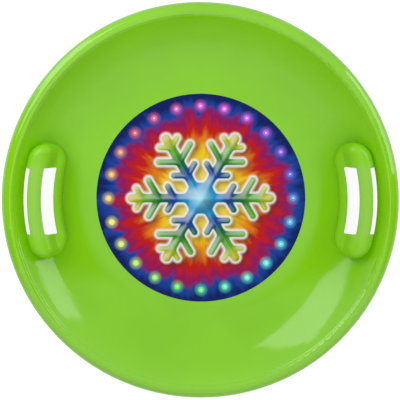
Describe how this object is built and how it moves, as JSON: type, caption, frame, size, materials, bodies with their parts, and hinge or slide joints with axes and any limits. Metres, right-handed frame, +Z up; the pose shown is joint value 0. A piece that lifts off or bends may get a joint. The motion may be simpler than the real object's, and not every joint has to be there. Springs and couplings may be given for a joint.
{
  "type": "saucer sled",
  "caption": "Round moulded saucer sled: a shallow bowl with a rolled rim, a round printed label on its floor, and hollow side handles with finger gaps round a curved grip bar.",
  "frame": {"origin": "middle of the flat underside that the sled stands and slides on", "axes": "+Z up out of the bowl, X through both handles, +Y away from the rider's feet"},
  "size_m": [0.6, 0.6, 0.066],
  "materials": {
    "green_plastic": "glossy lime green, moulded in colour",
    "printed_film": "glossy film with a bright printed pattern"
  },
  "bodies": {
    "root": {"saucer_shell": "green_plastic", "right_handle": "green_plastic", "left_handle": "green_plastic", "picture_label": "printed_film"}
  },
  "joints": []
}
